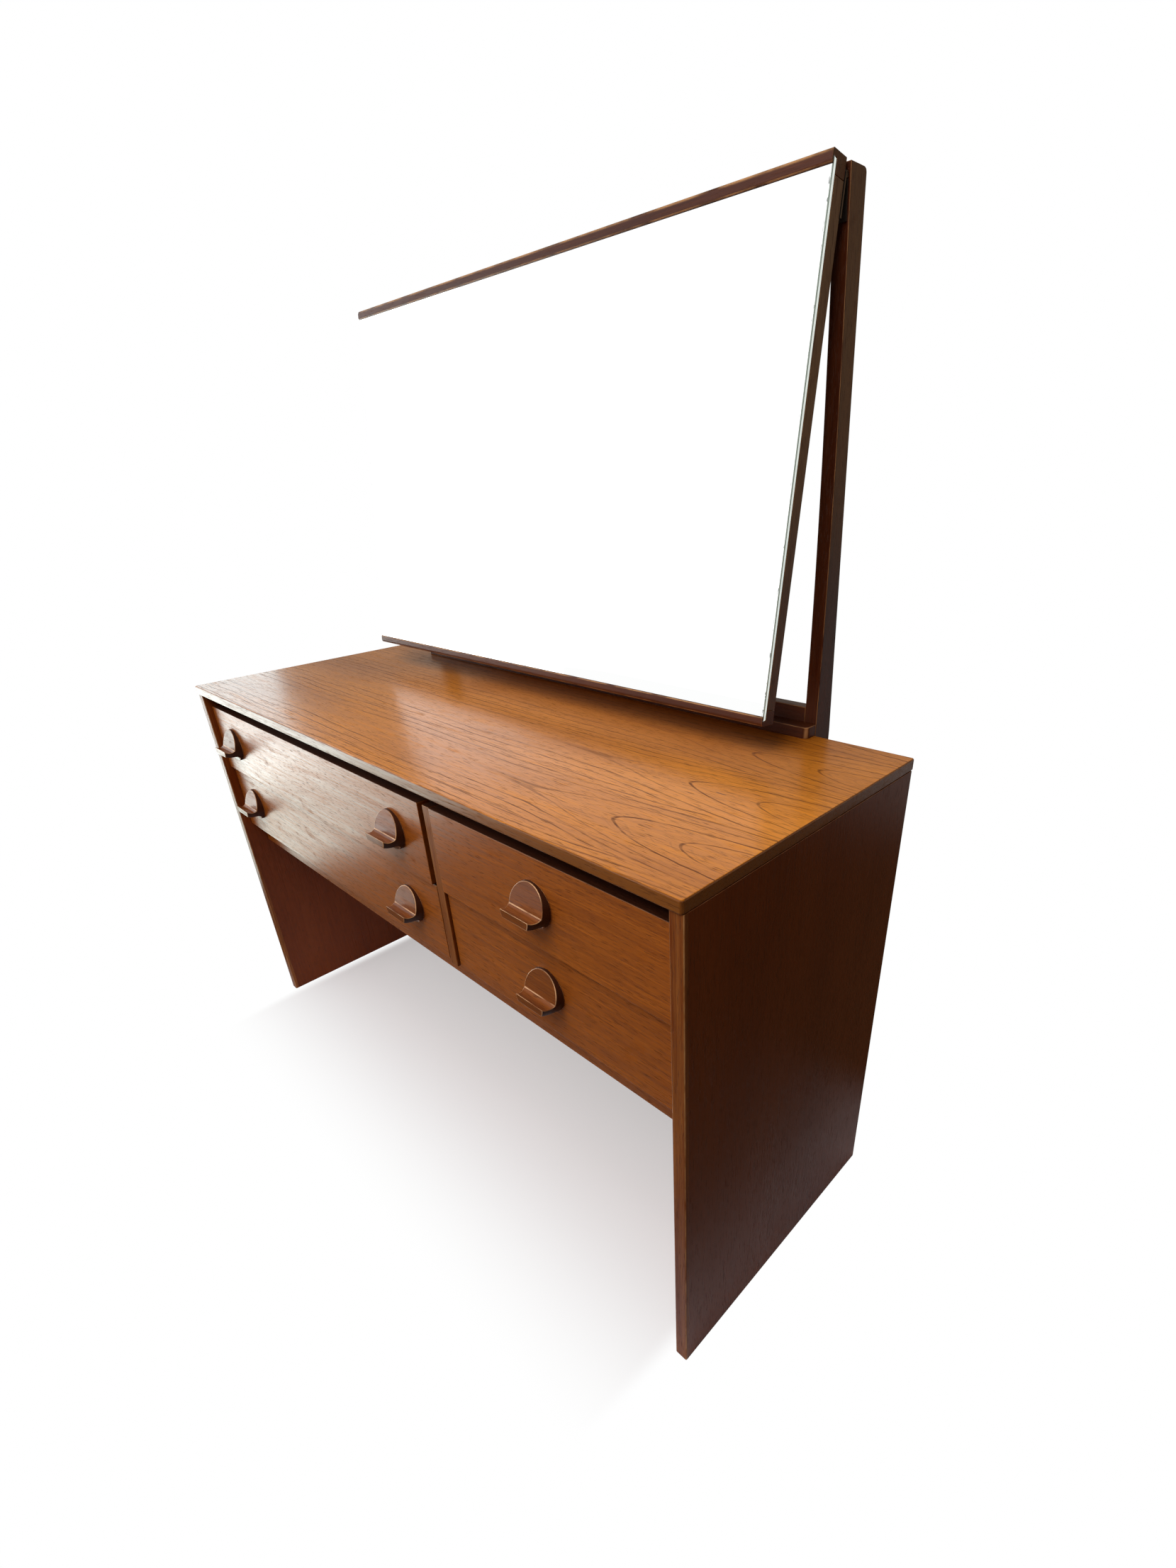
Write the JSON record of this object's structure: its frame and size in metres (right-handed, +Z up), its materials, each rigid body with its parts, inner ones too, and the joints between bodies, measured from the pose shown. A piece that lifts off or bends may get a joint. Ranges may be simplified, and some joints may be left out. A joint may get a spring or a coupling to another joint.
{
  "type": "dressing table with mirror",
  "caption": "Low teak dressing table with two wide and two narrow drawers, round scooped handles, an open knee space and a tilting mirror on rear posts.",
  "frame": {"origin": "on the floor, under the middle of the whole object's bounding box", "axes": "+Z up, +X to the sitter's right, -Y towards the sitter; the mirror and its posts stand at the +Y side"},
  "size_m": [1.22, 0.5062, 1.3091],
  "materials": {
    "teak_top": "satin lacquered teak veneer",
    "teak_front": "satin lacquered teak veneer",
    "teak_dark": "satin lacquered teak, shaded side",
    "teak_lipping": "satin solid teak",
    "teak_handle": "satin turned and carved teak",
    "beech": "plain sanded",
    "plywood": "plain veneered ply",
    "mirror_glass": "silvered float glass",
    "steel": "zinc plated"
  },
  "bodies": {
    "desk": {"top_panel": "teak_top", "left_end_panel": "teak_dark", "right_end_panel": "teak_dark", "left_end_lipping": "teak_lipping", "right_end_lipping": "teak_lipping", "centre_divider": "teak_lipping", "front_top_rail": "teak_dark", "front_lower_rail": "teak_dark", "rear_top_rail": "beech", "rear_lower_rail": "beech", "back_panel": "plywood", "upper_left_runner_a": "beech", "upper_left_runner_b": "beech", "upper_right_runner_a": "beech", "upper_right_runner_b": "beech", "lower_left_runner_a": "beech", "lower_left_runner_b": "beech", "lower_right_runner_a": "beech", "lower_right_runner_b": "beech", "mirror_ledge": "teak_dark", "left_mirror_post": "teak_dark", "right_mirror_post": "teak_dark", "mirror_stand_rail": "teak_dark", "left_post_hinge_leaf": "steel", "right_post_hinge_leaf": "steel"},
    "upper_left_drawer": {"upper_left_drawer_front": "teak_front", "upper_left_drawer_left_side": "beech", "upper_left_drawer_right_side": "beech", "upper_left_drawer_back": "beech", "upper_left_drawer_bottom": "plywood", "upper_left_drawer_handle_1": "teak_handle", "upper_left_drawer_handle_2": "teak_handle"},
    "upper_right_drawer": {"upper_right_drawer_front": "teak_front", "upper_right_drawer_left_side": "beech", "upper_right_drawer_right_side": "beech", "upper_right_drawer_back": "beech", "upper_right_drawer_bottom": "plywood", "upper_right_drawer_handle": "teak_handle"},
    "lower_left_drawer": {"lower_left_drawer_front": "teak_front", "lower_left_drawer_left_side": "beech", "lower_left_drawer_right_side": "beech", "lower_left_drawer_back": "beech", "lower_left_drawer_bottom": "plywood", "lower_left_drawer_handle_1": "teak_handle", "lower_left_drawer_handle_2": "teak_handle"},
    "lower_right_drawer": {"lower_right_drawer_front": "teak_front", "lower_right_drawer_left_side": "beech", "lower_right_drawer_right_side": "beech", "lower_right_drawer_back": "beech", "lower_right_drawer_bottom": "plywood", "lower_right_drawer_handle": "teak_handle"},
    "mirror": {"mirror_top_rail": "teak_dark", "mirror_bottom_rail": "teak_dark", "mirror_left_stile": "teak_dark", "mirror_right_stile": "teak_dark", "mirror_glass": "mirror_glass", "mirror_backing_board": "plywood", "mirror_left_hinge_leaf": "steel", "mirror_right_hinge_leaf": "steel"}
  },
  "joints": [
    {"name": "upper_left_drawer_slide", "type": "slide", "parent": "desk", "child": "upper_left_drawer", "axis": [0, -1, 0], "range_m": [0, 0.3]},
    {"name": "upper_right_drawer_slide", "type": "slide", "parent": "desk", "child": "upper_right_drawer", "axis": [0, -1, 0], "range_m": [0, 0.3]},
    {"name": "lower_left_drawer_slide", "type": "slide", "parent": "desk", "child": "lower_left_drawer", "axis": [0, -1, 0], "range_m": [0, 0.3]},
    {"name": "lower_right_drawer_slide", "type": "slide", "parent": "desk", "child": "lower_right_drawer", "axis": [0, -1, 0], "range_m": [0, 0.3]},
    {"name": "mirror_tilt", "type": "hinge", "parent": "desk", "child": "mirror", "pos_m": [0, 0.19017, 1.29398], "axis": [-1, 0, 0], "range_deg": [-9, 12]}
  ]
}
